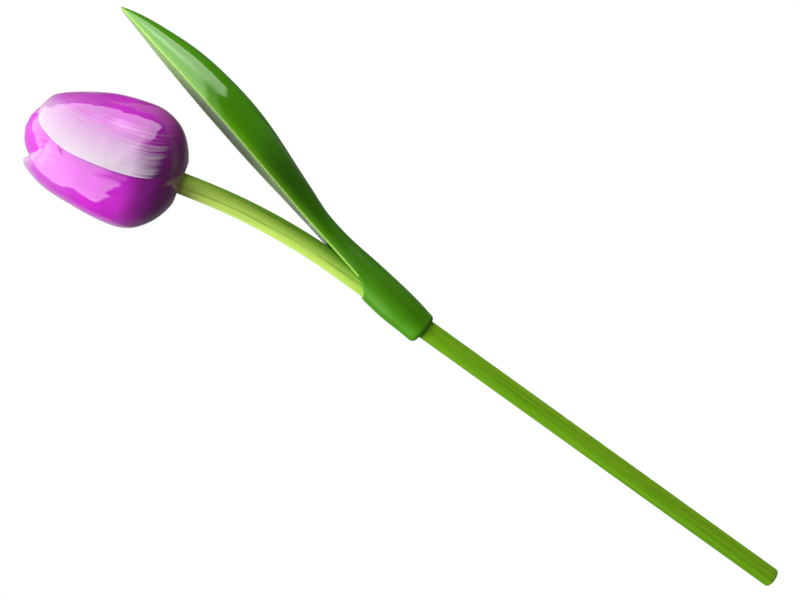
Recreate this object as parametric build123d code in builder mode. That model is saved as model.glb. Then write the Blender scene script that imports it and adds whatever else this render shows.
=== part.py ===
from build123d import *
from math import acos, cos, radians, sin
import os

os.makedirs("parts", exist_ok=True)

# A wooden tulip on a stem, with one carved leaf. It stands upright along +Z: the origin is the
# centre of the stem's flat lower end, the leaf leans out towards +X, and the top of the stem
# bends away from it, towards -X. All sizes are in millimetres and degrees.

# Stem: one rod, straight as far as the leaf and gently bent above it
stem_diameter = 7.84
stem_upper_diameter = 8.2
stem_free_length = 171.8
stem_taper_length = 12.0
stem_bend_below_crotch = 10.0
stem_bend_radius = 240.0
stem_bend_angle = 14.2
stem_neck_length = 6.15
stem_end_rounding = 0.6

# Joints between the pieces: the stem is glued into the flower and turns in the leaf
tenon_length = 14.0
glue_gap = 0.05
drill_point_length = 2.2
collar_fit = 0.1
cut_overrun = 6.0

# Flower: one block turned to an egg, with three outer petals and a closed bud carved in it
flower_radius = 24.0
widest_height = 19.5
petal_skin_rise = 45.0
petal_count = 3
first_petal_azimuth = -45.0
petal_tip_height = 59.0
petal_tip_offset = 12.0
petal_tip_slope = 28.0
petal_overlap = 0.5
petal_left_angle = 75.0
petal_right_angle = 110.0
petal_root_radius = 6.5
seat_radius = 8.0
bud_radius = 17.8
bud_floor_height = 40.0
bud_rise = 21.2
bud_lobe_turn = 3.0
bud_lobe_angle = 200.0

# Leaf collar: the drilled sleeve round the stem, which leans a little with the leaf
collar_step = 0.7
collar_length = 34.0
mouth_length = 17.5
collar_lean = 6.5
collar_end_rounding = 1.7
collar_radius = 7.2
collar_offset = -0.75

# Leaf blade: a half-round body whose flat inner face leans away from the stem
crotch_offset = 4.8
face_lean = 12.9
face_bow = 0.8
blade_length = 115.4
blade_depth = 14.3
blade_half_width = 14.3
tip_radius = 0.4
mouth_cutter_radius = 12.0
dish_radius = 42.0
dish_depth = 1.5
dish_start = 8.0
dish_end = 104.0

# Worked out: the heights at which the leaf's collar, its mouth and its crotch lie
collar_start_height = stem_free_length + collar_step
mouth_start_height = collar_start_height + collar_length
crotch_height = mouth_start_height + mouth_length

# Worked out: stem
stem_radius = stem_diameter / 2
stem_straight_length = crotch_height - stem_bend_below_crotch
stem_upper_radius = stem_upper_diameter / 2
bend_end_offset = -stem_bend_radius * (1 - cos(radians(stem_bend_angle)))
bend_end_height = stem_straight_length + stem_bend_radius * sin(radians(stem_bend_angle))
top_direction = Vector(-sin(radians(stem_bend_angle)), 0, cos(radians(stem_bend_angle)))
flower_base = Vector(bend_end_offset, 0, bend_end_height) + top_direction * stem_neck_length
flower_plane = Plane(flower_base, x_dir=(cos(radians(stem_bend_angle)), 0, sin(radians(stem_bend_angle))),
                     z_dir=top_direction)

# The stem is a straight rod with a short taper inside the collar, then an arc and a tenon
with BuildPart() as stem:
    with BuildSketch(Plane.XY):
        Circle(stem_radius)
    extrude(amount=stem_free_length)
    fillet(stem.faces().sort_by(Axis.Z)[0].edges(), stem_end_rounding)
    with BuildSketch(Plane.XY.offset(stem_free_length)):
        Circle(stem_radius)
    with BuildSketch(Plane.XY.offset(stem_free_length + stem_taper_length)):
        Circle(stem_upper_radius)
    loft()
    with BuildLine(Plane.XZ) as stem_path:
        straight = Line((0, stem_free_length + stem_taper_length), (0, stem_straight_length))
        bend = JernArc(start=straight @ 1, tangent=straight % 1, radius=stem_bend_radius,
                       arc_size=stem_bend_angle)
        Line(bend @ 1, bend @ 1 + (bend % 1) * (stem_neck_length + tenon_length))
    with BuildSketch(Plane.XY.offset(stem_free_length + stem_taper_length)):
        Circle(stem_upper_radius)
    sweep(path=stem_path.line)

stem.part.label = "stem"
export_step(stem.part, "parts/stem.step")


# Worked out: flower. The petal's outline, seen from in front of it, in shares of the flower's
# radius and of the tip's height; below its shoulder the right side lies under the next petal
left_edge_shares = [(-0.45, -0.10), (-0.675, 0.154), (-0.81, 0.24), (-0.867, 0.41), (-0.81, 0.637),
                    (-0.667, 0.822), (-0.504, 0.922), (-0.34, 0.978)]
right_edge_shares = [(-0.20, 0.985), (0.10, 0.962), (0.32, 0.932), (0.525, 0.89), (0.654, 0.864)]
under_next_petal_shares = [(0.95, 0.75), (1.10, 0.40), (1.10, -0.10)]
petal_prism_reach = flower_radius - petal_tip_offset + cut_overrun
petal_direction = (cos(radians(petal_tip_slope)), 0, sin(radians(petal_tip_slope)))
petal_step = 360 / petal_count
core_radius = (seat_radius + petal_root_radius) / 2
quarter_ellipse_weights = (1, sin(radians(45)), 1)
seat_height = widest_height * (1 - sin(acos(seat_radius / flower_radius)))


def petal_outline(shares):
    """Turns shares of the radius and the tip's height into points of the petal's outline."""
    return [(across * flower_radius, up * petal_tip_height) for across, up in shares]


# The turned skin, as far round the flower's axis as one petal reaches
with BuildPart() as turned_skin:
    with BuildSketch(Plane.XZ):
        with BuildLine():
            base, widest, top = (0, 0), (flower_radius, widest_height), (0, widest_height + petal_skin_rise)
            Bezier(base, (flower_radius, 0), widest, weights=quarter_ellipse_weights)
            Bezier(widest, (flower_radius, top[1]), top, weights=quarter_ellipse_weights)
            Line(top, base)
        make_face()
    revolve(axis=Axis.Z, revolution_arc=petal_left_angle + petal_right_angle)
    with BuildSketch():
        Circle(petal_root_radius)
    extrude(amount=widest_height + petal_skin_rise, mode=Mode.SUBTRACT)

# One petal, facing +X: the skin, set a little to the left so that the left edge stands over the
# neighbour, and cut to the petal's outline
with BuildPart() as petal:
    with Locations(Location((0, -petal_overlap, 0), (0, 0, -petal_left_angle))):
        add(turned_skin.part)
    with BuildSketch(Plane((petal_tip_offset, 0, 0), x_dir=(0, 1, 0), z_dir=(1, 0, 0))):
        with BuildLine():
            edge = Spline(petal_outline(left_edge_shares + right_edge_shares))
            Polyline([edge @ 1] + petal_outline(under_next_petal_shares) + [edge @ 0])
        make_face()
    extrude(amount=petal_prism_reach, dir=petal_direction, both=True, mode=Mode.INTERSECT)

# One lobe of the closed bud
with BuildPart() as bud_lobe:
    with BuildSketch(Plane.XZ):
        with BuildLine():
            Bezier((bud_radius, 0), (bud_radius, bud_rise), (0, bud_rise), weights=quarter_ellipse_weights)
            Polyline((0, bud_rise), (0, 0), (bud_radius, 0))
        make_face()
    revolve(axis=Axis.Z, revolution_arc=bud_lobe_angle)

# The flower is a core, three petals and a bud of three leaning lobes, drilled for the tenon
with BuildPart() as upright_flower:
    with BuildSketch():
        Circle(core_radius)
    extrude(amount=bud_floor_height + cut_overrun)
    with PolarLocations(0, petal_count, first_petal_azimuth):
        add(petal.part)
    with PolarLocations(0, petal_count, first_petal_azimuth - petal_step / 2):
        with Locations(Location((0, 0, bud_floor_height), (0, bud_lobe_turn, 0))):
            add(bud_lobe.part, rotation=(0, 0, -bud_lobe_angle / 2))
    split(bisect_by=Plane.XY.offset(seat_height), keep=Keep.TOP)
    with BuildSketch(Plane.XZ):
        with BuildLine():
            hole_radius = stem_upper_radius + glue_gap
            Polyline((0, -cut_overrun), (hole_radius, -cut_overrun), (hole_radius, tenon_length),
                     (0, tenon_length + drill_point_length), close=True)
        make_face()
    revolve(axis=Axis.Z, mode=Mode.SUBTRACT)

# It stands on the end of the bent stem
with BuildPart(flower_plane) as flower_head:
    add(upright_flower.part)

flower_head.part.label = "flower_head"
export_step(flower_head.part, "parts/flower_head.step")

# Worked out: leaf. Stations of its body are ellipses square to the collar's or the blade's line,
# each a share of the length followed, on the collar, by a share of its radius, and on the blade by
# shares of the back's depth, the half width, and the depth at which the ellipse has its centre
collar_shares = [(0.0, 0.87), (0.16, 0.93), (0.34, 0.99), (0.58, 1.02)]
blade_shares = [
    (-0.20, 0.725, 0.510, 0.220),
    (-0.14, 0.665, 0.500, 0.165),
    (-0.07, 0.593, 0.470, 0.130),
    (0.00, 0.560, 0.455, 0.095),
    (0.06, 0.570, 0.480, 0.070),
    (0.13, 0.650, 0.565, 0.055),
    (0.23, 0.768, 0.760, 0.020),
    (0.34, 0.903, 0.955, 0.000),
    (0.47, 0.998, 1.000, 0.000),
    (0.60, 0.970, 0.980, 0.000),
    (0.73, 0.836, 0.790, 0.000),
    (0.85, 0.573, 0.525, 0.000),
    (0.93, 0.345, 0.320, 0.010),
    (0.97, 0.195, 0.190, 0.020),
]
collar_direction = Vector(sin(radians(collar_lean)), 0, cos(radians(collar_lean)))
collar_across = Vector(cos(radians(collar_lean)), 0, -sin(radians(collar_lean)))
collar_origin = Vector(collar_offset, 0, collar_start_height)
face_direction = Vector(sin(radians(face_lean)), 0, cos(radians(face_lean)))
face_across = Vector(cos(radians(face_lean)), 0, -sin(radians(face_lean)))
crotch = Vector(crotch_offset, 0, crotch_height)
bore_radius = stem_upper_radius + collar_fit
mouth_along = (mouth_start_height - crotch_height) / cos(radians(face_lean))
dish_middle = (dish_start + dish_end) / 2


def section(depth_radius, width_radius):
    """An ellipse in two halves, which meet at the middle of the back and of the front."""
    for start in (0, 180):
        EllipticalCenterArc((0, 0), depth_radius, width_radius, start, arc_size=180)


def blade_point(along, depth):
    """A place in the leaf's middle plane: along its flat face from the crotch, and behind it."""
    return crotch + face_direction * along + face_across * depth


def in_middle_plane(along, depth):
    """The same place as a point of a sketch on the XZ plane."""
    place = blade_point(along, depth)
    return (place.X, place.Z)


# The leaf is lofted through its stations, cut to its inner face, dished and drilled
with BuildPart() as leaf:
    for along_share, radius_share in collar_shares:
        centre = collar_origin + collar_direction * (along_share * collar_length)
        with BuildSketch(Plane(centre, x_dir=collar_across, z_dir=collar_direction)):
            with BuildLine():
                section(collar_radius * radius_share, collar_radius * radius_share)
            make_face()
    for along_share, depth_share, width_share, centre_share in blade_shares:
        centre = blade_point(along_share * blade_length, centre_share * blade_depth)
        with BuildSketch(Plane(centre, x_dir=face_across, z_dir=face_direction)):
            with BuildLine():
                section((depth_share - centre_share) * blade_depth, width_share * blade_half_width)
            make_face()
    tip_centre = blade_point(blade_length - tip_radius, face_bow)
    with BuildSketch(Plane(tip_centre, x_dir=face_across, z_dir=face_direction)):
        with BuildLine():
            section(tip_radius, tip_radius)
        make_face()
    loft()
    fillet(leaf.faces().sort_by(Axis.Z)[0].edges(), collar_end_rounding)

    # The inner face: a scoop that opens the collar's mouth, then a long, slightly bowed flat
    with BuildSketch(Plane.XZ):
        with BuildLine():
            flat = Line(in_middle_plane(0, 0), in_middle_plane(mouth_along, 0))
            scoop = JernArc(start=flat @ 1, tangent=flat % 1, radius=mouth_cutter_radius,
                            arc_size=face_lean - 90)
            blade_end = in_middle_plane(blade_length, face_bow / 2)
            bow = ThreePointArc(flat @ 0, in_middle_plane(blade_length / 2, -face_bow / 2), blade_end)
            clear_of_leaf = -(blade_half_width + blade_depth)
            above_leaf = blade_end[1] + cut_overrun
            Polyline(scoop @ 1, (clear_of_leaf, (scoop @ 1).Y), (clear_of_leaf, above_leaf),
                     (blade_end[0], above_leaf), blade_end)
        make_face()
    extrude(amount=blade_half_width + cut_overrun, both=True, mode=Mode.SUBTRACT)

    # The dish in the blade's face is turned about a line parallel to the face
    dish_axis_start = blade_point(0, -dish_radius)
    with BuildSketch(Plane.XZ):
        with BuildLine():
            dish = ThreePointArc(in_middle_plane(dish_start, 0), in_middle_plane(dish_middle, dish_depth),
                                 in_middle_plane(dish_end, 0))
            Polyline(dish @ 1, in_middle_plane(dish_end, -dish_depth),
                     in_middle_plane(dish_start, -dish_depth), dish @ 0)
        make_face()
    revolve(axis=Axis(dish_axis_start, face_direction), mode=Mode.SUBTRACT)

    # The bore runs out through the face as a groove, in which the stem lies
    with BuildSketch(Plane.XY.offset(collar_start_height - cut_overrun)):
        Circle(bore_radius)
    extrude(amount=crotch_height - collar_start_height + 2 * cut_overrun, mode=Mode.SUBTRACT)

leaf.part.label = "leaf"
export_step(leaf.part, "parts/leaf.step")
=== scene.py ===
"""A wooden tulip: a carved, lacquered bloom on a bent stem, with one carved leaf."""

import math

import bmesh
import bpy
import numpy as np
from bpy.props import FloatProperty, FloatVectorProperty, IntProperty, PointerProperty
from bpy.types import Operator, Panel, PropertyGroup
from mathutils import Matrix, Vector
from mathutils.kdtree import KDTree


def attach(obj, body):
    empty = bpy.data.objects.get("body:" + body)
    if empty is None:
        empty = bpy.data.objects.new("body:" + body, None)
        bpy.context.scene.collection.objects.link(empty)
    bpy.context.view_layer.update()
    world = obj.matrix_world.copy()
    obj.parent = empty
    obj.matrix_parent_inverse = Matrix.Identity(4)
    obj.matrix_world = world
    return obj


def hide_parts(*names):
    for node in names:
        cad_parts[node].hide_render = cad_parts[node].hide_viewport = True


bl_info = {
    "name": "Wooden tulip",
    "version": (1, 0, 0),
    "blender": (4, 5, 0),
    "location": "View3D > Sidebar > Wooden tulip",
    "description": "Makes a lacquered wooden tulip with a carved bloom, a bent stem and one leaf",
    "category": "Object",
}

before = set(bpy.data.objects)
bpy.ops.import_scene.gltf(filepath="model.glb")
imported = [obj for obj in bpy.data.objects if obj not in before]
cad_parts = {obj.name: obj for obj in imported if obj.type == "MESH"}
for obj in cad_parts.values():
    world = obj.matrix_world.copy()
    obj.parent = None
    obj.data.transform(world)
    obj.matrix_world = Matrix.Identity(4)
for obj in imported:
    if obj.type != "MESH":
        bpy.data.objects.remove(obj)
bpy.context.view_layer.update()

MM = 0.001


# Sizes and colours that a user would change

def length(name, description, default):
    """A length property in metres."""
    return FloatProperty(name=name, description=description, default=default, subtype="DISTANCE", unit="LENGTH")


def angle(name, description, degrees):
    """An angle property, given in degrees."""
    return FloatProperty(name=name, description=description, default=math.radians(degrees),
                         subtype="ANGLE", unit="ROTATION")


def colour(name, description, default):
    """A linear colour property."""
    return FloatVectorProperty(name=name, description=description, default=default, size=3, min=0, max=1,
                               subtype="COLOR")


class TulipStemSettings(PropertyGroup):
    """The stem's sizes and colours"""

    lower_diameter: length("Lower diameter", "Diameter of the rod below the leaf", 0.00784)
    upper_diameter: length("Upper diameter", "Diameter of the rod above the leaf's collar", 0.0082)
    taper_start: length("Taper start", "Height at which the rod starts to widen", 0.1718)
    taper_length: length("Taper length", "Length over which the rod widens", 0.012)
    bend_start: length("Bend start", "Height at which the bend starts", 0.214)
    bend_radius: length("Bend radius", "Radius of the bend", 0.24)
    bend_angle: angle("Bend angle", "How far the top leans", 14.2)
    neck_length: length("Neck length", "Straight piece between the bend and the bloom", 0.00615)
    tenon_length: length("Tenon length", "Part of the stem inside the bloom", 0.014)
    end_rounding: length("End rounding", "Rounding of the lower end's rim", 0.0006)
    green: colour("Green", "Main green of the stem", (0.088, 0.335, 0.002))
    streak: colour("Streak green", "Thinner streaks in the green paint", (0.46, 0.72, 0.030))
    # Pale green: the paler paint above the leaf, carried further towards the bloom as painted light
    pale: colour("Pale green", "Thin paint over pale wood above the leaf", (0.74, 0.97, 0.20))


class TulipBloomSettings(PropertyGroup):
    """The bloom's sizes and colours"""

    radius: length("Radius", "Largest radius of the bloom", 0.024)
    widest_height: length("Widest height", "Height of the largest radius above the bloom's base", 0.0195)
    skin_rise: length("Skin rise", "Height of the petals' skin above the widest place", 0.045)
    hole_radius: length("Hole radius", "Radius of the hole for the stem", 0.00415)
    petal_count: IntProperty(name="Petals", description="Number of outer petals", default=3, min=2, max=6)
    first_azimuth: angle("First petal", "Direction that the first petal faces", -45)
    petal_step: length("Petal step", "How far a petal's edge stands over its neighbour", 0.0011)
    rim_rounding: length("Rim rounding", "Rounding of the petals' edges", 0.00045)
    bud_radius: length("Bud radius", "Radius of the closed bud inside", 0.0154)
    bud_floor: length("Bud floor", "Height of the bud's widest place", 0.04)
    bud_rise: length("Bud rise", "Height of the bud above its widest place", 0.0214)
    bud_shift: length("Bud shift", "How far the bud stands off the bloom's axis", 0.0006)
    bud_lean: angle("Bud lean", "How far each lobe of the bud leans outwards", 3)
    magenta: colour("Magenta", "Lacquer of the bloom", (0.60, 0.020, 0.60))
    upper_pink: colour("Upper pink", "Thinner lacquer towards the petals' tips", (0.58, 0.112, 0.58))
    brushed: colour("Brushed white", "White paint brushed along each petal's edge", (0.66, 0.545, 0.66))


class TulipLeafSettings(PropertyGroup):
    """The leaf's sizes and colours"""

    grain: length("Mesh grain", "Size of the smoothed mesh's faces", 0.00037)
    face_lean: angle("Face lean", "How far the leaf leans away from the stem", 12.9)
    crotch_height: length("Crotch height", "Height at which the leaf parts from the stem", 0.224)
    crotch_offset: length("Crotch offset", "Distance of the leaf's face from the stem's axis there", 0.0048)
    mouth_start: length("Mouth start", "Height at which the collar opens towards the bloom", 0.2065)
    bore_radius: length("Bore radius", "Radius of the hole and groove for the stem", 0.0042)
    green: colour("Green", "Lacquer of the leaf", (0.058, 0.275, 0.003))
    # Light green serves the paler streaks and, made lighter still, the painted highlight along the near rim
    light: colour("Light green", "Thinner lacquer towards the rims", (0.15, 0.46, 0.010))
    # Tip green is painted light: a lighter green up the blade for the tinted reflection there
    tip: colour("Tip green", "Lacquer of the leaf's upper half", (0.088, 0.38, 0.004))
    # Hollow green is painted reflection: a pale green-grey for the light that the hollowed face mirrors
    hollow: colour("Hollow green", "Lacquer of the leaf's hollowed face", (0.30, 0.52, 0.07))
    mirrored: colour("Mirrored tint", "Tint of what the lacquer mirrors", (0.66, 1.0, 0.42))


class TulipStageSettings(PropertyGroup):
    """The floor and the camera"""

    floor_radius: length("Floor radius", "Radius of the pale floor", 1.2)
    lens: FloatProperty(name="Lens", description="Focal length in millimetres on a 36 mm sensor", default=74.05)
    camera_distance: length("Camera distance", "Distance of the camera from where it aims", 0.63)
    camera_azimuth: angle("Camera azimuth", "Direction from which the camera looks", -5)
    camera_height: angle("Camera elevation", "Angle of the camera above the horizon", 8)
    camera_roll: angle("Camera roll", "How far the tulip lies over in the picture", 54.245)


# Curves and surfaces in numbers

def smooth_step(low, high, x):
    """Rises smoothly from 0 at low to 1 at high."""
    t = np.clip((x - low) / (high - low), 0, 1)
    return t * t * (3 - 2 * t)


def hump(x, width):
    """A smooth hump: 1 at 0, and about a third of that a width away."""
    return np.exp(-(x / width)**2)


def through_points(points, places):
    """A smooth curve through points, read at places from 0 to 1 along it (a natural cubic spline)."""
    p = np.array(points, float)
    t = np.concatenate([[0], np.cumsum(np.linalg.norm(np.diff(p, axis=0), axis=1))])
    t /= t[-1]
    h = np.diff(t)
    n = len(t)
    a = np.zeros((n, n))
    b = np.zeros((n, p.shape[1]))
    a[0, 0] = a[-1, -1] = 1
    for i in range(1, n - 1):
        a[i, i - 1], a[i, i], a[i, i + 1] = h[i - 1], 2 * (h[i - 1] + h[i]), h[i]
        b[i] = 6 * ((p[i + 1] - p[i]) / h[i] - (p[i] - p[i - 1]) / h[i - 1])
    m = np.linalg.solve(a, b)
    places = np.asarray(places, float)
    i = np.clip(np.searchsorted(t, places, side="right") - 1, 0, n - 2)
    left = (places - t[i])[:, None]
    right = (t[i + 1] - places)[:, None]
    step = h[i][:, None]
    bent = (m[i] * right**3 + m[i + 1] * left**3) / (6 * step)
    return bent + (p[i] / step - m[i] * step / 6) * right + (p[i + 1] / step - m[i + 1] * step / 6) * left


def hand_waves(x, y, z):
    """Small uneven waves of a hand-carved surface, from -1 to 1; x, y and z in millimetres."""
    return (np.sin(0.55 * x + 0.21 * z + 1.3) * np.sin(0.47 * y - 0.13 * z + 0.4)
            + 0.6 * np.sin(0.92 * y + 0.33 * z + 2.1) * np.sin(0.31 * z - 0.6 * x)
            + 0.35 * np.sin(1.7 * x - 0.4 * z + 0.7) * np.sin(1.5 * y + 0.5 * z)) / 1.95


def radians(*degrees):
    """Angles in radians."""
    return [math.radians(a) for a in degrees]


def direction(azimuth, elevation):
    """A unit vector: azimuth 0 looks back to the front, and a quarter turn to the right; in radians."""
    level = math.cos(elevation)
    return Vector((math.sin(azimuth) * level, -math.cos(azimuth) * level, math.sin(elevation)))


# Meshes and objects

def linked(name, data):
    """A new object in the scene."""
    obj = bpy.data.objects.new(name, data)
    bpy.context.scene.collection.objects.link(obj)
    return obj


def vertex_values(mesh, name):
    """A mesh's points ("co") or normals ("normal"), one row for each vertex."""
    values = np.empty(len(mesh.vertices) * 3)
    mesh.vertices.foreach_get(name, values)
    return values.reshape(-1, 3)


def store_vectors(mesh, name, values):
    """Keeps a vector for each vertex as a named attribute."""
    layer = mesh.attributes.new(name, "FLOAT_VECTOR", "POINT")
    layer.data.foreach_set("vector", np.asarray(values, np.float32).ravel())


def to_object(name, vertices, faces, vectors):
    """A mesh object from points in millimetres, with vector attributes given by name."""
    mesh = bpy.data.meshes.new(name)
    mesh.from_pydata((np.asarray(vertices) * MM).tolist(), [], faces)
    for attribute, values in vectors.items():
        store_vectors(mesh, attribute, values)
    mesh.update()
    return linked(name, mesh)


def grid_faces(rows, columns, flip=False):
    """Quads of a grid of points numbered row by row."""
    faces = []
    for i in range(rows - 1):
        for a in range(i * columns, (i + 1) * columns - 1):
            quad = (a, a + 1, a + columns + 1, a + columns)
            faces.append(quad[::-1] if flip else quad)
    return faces


def shade(mesh, sharp_degrees):
    """Smooth shading, apart from edges sharper than an angle."""
    mesh.shade_smooth()
    mesh.set_sharp_from_angle(angle=math.radians(sharp_degrees))


def baked(obj, name):
    """The evaluated object as a plain mesh object; the one it came from is removed."""
    depsgraph = bpy.context.evaluated_depsgraph_get()
    mesh = bpy.data.meshes.new_from_object(obj.evaluated_get(depsgraph), preserve_all_data_layers=True,
                                           depsgraph=depsgraph)
    mesh.name = name
    mesh.transform(obj.matrix_world)
    mesh.shade_smooth()
    done = linked(name, mesh)
    bpy.data.objects.remove(obj)
    return done


def baked_tree(obj, name, tree, values):
    """The object baked through a geometry node tree, whose inputs are set from values given by name."""
    modifier = obj.modifiers.new(tree.name, "NODES")
    modifier.node_group = tree
    for item in tree.interface.items_tree:
        if item.in_out == "INPUT" and item.name in values:
            modifier[item.identifier] = values[item.name]
    return baked(obj, name)


def bloom_frame():
    """Where the bloom sits on the bent stem: its base and its turned axes."""
    s = bpy.context.scene.tulip_stem
    a = s.bend_angle
    up = Vector((-math.sin(a), 0, math.cos(a)))
    base = Vector((-s.bend_radius * (1 - math.cos(a)), 0, s.bend_start + s.bend_radius * math.sin(a)))
    return Matrix.Translation(base + up * s.neck_length) @ Matrix.Rotation(-a, 4, "Y")


# Nodes, and the groups that more than one material or piece uses

class Nodes:
    """Adds nodes to one tree; a value is a number, a colour or another node's output."""

    def __init__(self, tree):
        self.tree = tree

    def fill(self, sockets, values):
        """Sets or links sockets, given by name or by place."""
        for key, value in values.items():
            if isinstance(value, bpy.types.NodeSocket):
                self.tree.links.new(value, sockets[key])
            else:
                sockets[key].default_value = value

    def add(self, kind, inputs=None, **settings):
        """Adds a node with its inputs and settings, and returns its outputs."""
        node = self.tree.nodes.new(kind)
        for key, value in settings.items():
            setattr(node, key, value)
        self.fill(node.inputs, inputs or {})
        return node.outputs

    def finish_mesh(self, result, mesh, material):
        """Ends a geometry tree: the mesh with its material."""
        self.fill(result, {0: self.add("GeometryNodeSetMaterial", {"Geometry": mesh, "Material": material})[0]})

    def maths(self, operation, *values, clamp=False):
        """The result of one math node."""
        return self.add("ShaderNodeMath", dict(enumerate(values)), operation=operation, use_clamp=clamp)[0]

    def times(self, a, b, clamp=False):
        """One value times another."""
        return self.maths("MULTIPLY", a, b, clamp=clamp)

    def plus(self, a, b, clamp=False):
        """One value and another."""
        return self.maths("ADD", a, b, clamp=clamp)

    def minus(self, a, b):
        """One value less another."""
        return self.maths("SUBTRACT", a, b)

    def larger(self, a, b):
        """The larger of two values."""
        return self.maths("MAXIMUM", a, b)

    def weighted(self, a, b, share_a, share_b):
        """A share of one value and a share of another."""
        return self.plus(self.times(a, share_a), self.times(b, share_b))

    def mapped(self, value, low, high, to_low=0.0, to_high=1.0, smooth=True):
        """A value mapped from one range to another, smoothly or in a straight line."""
        return self.add("ShaderNodeMapRange", {
            "Value": value, "From Min": low, "From Max": high, "To Min": to_low, "To Max": to_high,
        }, interpolation_type="SMOOTHSTEP" if smooth else "LINEAR")["Result"]

    def mixed(self, factor, a, b):
        """Two colours mixed by a factor."""
        return self.add("ShaderNodeMix", {0: factor, 6: a, 7: b}, data_type="RGBA")[2]

    def either(self, factor, a, b):
        """Two values mixed by a factor."""
        return self.add("ShaderNodeMix", {0: factor, 2: a, 3: b}, data_type="FLOAT")[0]

    def parts(self, vector):
        """The X, Y and Z of a vector."""
        return self.add("ShaderNodeSeparateXYZ", {"Vector": vector})

    def attribute(self, name):
        """A vector attribute of the mesh."""
        return self.add("ShaderNodeAttribute", attribute_type="GEOMETRY", attribute_name=name)["Vector"]

    def place(self, kind="Object"):
        """Where a point lies on its object, or for the world, the way that a ray goes."""
        return self.add("ShaderNodeTexCoord")[kind]

    def noise(self, vector, scale, detail, roughness=0.5):
        """Soft noise, from 0 to 1."""
        return self.add("ShaderNodeTexNoise", {"Vector": vector, "Scale": scale, "Detail": detail,
                                               "Roughness": roughness})[0]

    def streaks(self, vector, width, along, unevenness):
        """The shared brush streaks, placed with their own values: their streaks and their patches."""
        group = shared_group("brush_streaks", make_brush_streaks)
        return self.add("ShaderNodeGroup", {"Vector": vector, "Streak Width": width, "Streak Length": along,
                                            "Unevenness": unevenness}, node_tree=group)

    def bump(self, height, strength, distance):
        """The normal of a bump."""
        return self.add("ShaderNodeBump", {"Strength": strength, "Distance": distance, "Height": height})[0]

    def rays(self):
        """1 for a ray that is seen straight or through glass, and 1 for a ray that is mirrored."""
        path = self.add("ShaderNodeLightPath")
        return self.plus(path["Is Camera Ray"], path["Is Transmission Ray"], clamp=True), path["Is Glossy Ray"]


def node_group(kind, name, inputs, outputs):
    """An empty node group with named inputs and outputs: its nodes, what is given and what it gives."""
    tree = bpy.data.node_groups.new(name, kind)
    for socket, value_kind, default in inputs:
        made = tree.interface.new_socket(name=socket, in_out="INPUT", socket_type="NodeSocket" + value_kind)
        if default is not None:
            made.default_value = default
    for socket, value_kind in outputs:
        tree.interface.new_socket(name=socket, in_out="OUTPUT", socket_type="NodeSocket" + value_kind)
    return Nodes(tree), tree.nodes.new("NodeGroupInput").outputs, tree.nodes.new("NodeGroupOutput").inputs


def shared_group(name, maker):
    """A shared node group, made the first time it is asked for."""
    return bpy.data.node_groups.get(name) or maker(name)


def make_brush_streaks(name):
    """Group: the streaks a brush leaves along the third axis of its vector, which is in metres."""
    n, given, result = node_group("ShaderNodeTree", name, [
        ("Vector", "Vector", None), ("Streak Width", "Float", 0.0006), ("Streak Length", "Float", 0.03),
        ("Unevenness", "Float", 0.5)], [("Streaks", "Float"), ("Patches", "Float")])
    across = n.maths("DIVIDE", 1.0, given["Streak Width"])
    along = n.maths("DIVIDE", 1.0, given["Streak Length"])
    scale = n.add("ShaderNodeCombineXYZ", {"X": across, "Y": across, "Z": along})[0]
    stretched = n.add("ShaderNodeVectorMath", {0: given["Vector"], 1: scale}, operation="MULTIPLY")[0]
    fine = n.noise(stretched, scale=0.5, detail=3.0, roughness=0.55)
    coarse = n.noise(stretched, scale=0.11, detail=2.0)
    fine_share, coarse_share, quarter = 0.6, 0.4, 0.25
    both = n.weighted(fine, coarse, fine_share, coarse_share)
    low = n.minus(0.5, n.times(given["Unevenness"], quarter))
    high = n.plus(0.5, n.times(given["Unevenness"], quarter))
    patches = n.noise(given["Vector"], scale=90.0, detail=2.0)
    n.fill(result, {"Streaks": n.mapped(both, low, high), "Patches": n.mapped(patches, 0.35, 0.65)})
    return n.tree


def make_fine_dots(name):
    """Group: the tiny pale dots of dust and pinholes in the paint; its vector is in metres."""
    n, given, result = node_group("ShaderNodeTree", name, [
        ("Vector", "Vector", None), ("Spacing", "Float", 0.003), ("Amount", "Float", 0.3)], [("Dots", "Float")])
    scale = n.maths("DIVIDE", 1.0, given["Spacing"])
    cells = n.add("ShaderNodeTexVoronoi", {"Vector": given["Vector"], "Scale": scale})
    dot_edge, dot_core = 0.10, 0.04
    near = n.mapped(cells["Distance"], dot_edge, dot_core)
    chosen = n.add("ShaderNodeSeparateColor", {"Color": cells["Color"]})[0]
    n.fill(result, {"Dots": n.times(near, n.maths("LESS_THAN", chosen, given["Amount"]))})
    return n.tree


def make_round_tree(name):
    """Tree: the object's own mesh, repeated round the Z axis and merged where the copies meet."""
    n, given, result = node_group("GeometryNodeTree", name, [
        ("Geometry", "Geometry", None), ("Count", "Int", 3), ("First Angle", "Float", 0.0),
        ("Merge Distance", "Float", 0.00002), ("Material", "Material", None)], [("Geometry", "Geometry")])
    line = n.add("GeometryNodeMeshLine", {"Count": given["Count"], "Offset": (0, 0, 0)}, mode="OFFSET")[0]
    step = n.maths("DIVIDE", 2 * math.pi, given["Count"])
    turn = n.plus(n.times(n.add("GeometryNodeInputIndex")[0], step), given["First Angle"])
    rotation = n.add("ShaderNodeCombineXYZ", {"Z": turn})[0]
    copies = n.add("GeometryNodeInstanceOnPoints", {"Points": line, "Instance": given["Geometry"],
                                                    "Rotation": rotation})[0]
    real = n.add("GeometryNodeRealizeInstances", {"Geometry": copies})[0]
    merged = n.add("GeometryNodeMergeByDistance", {"Geometry": real, "Distance": given["Merge Distance"]})[0]
    n.finish_mesh(result, merged, given["Material"])
    return n.tree


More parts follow.
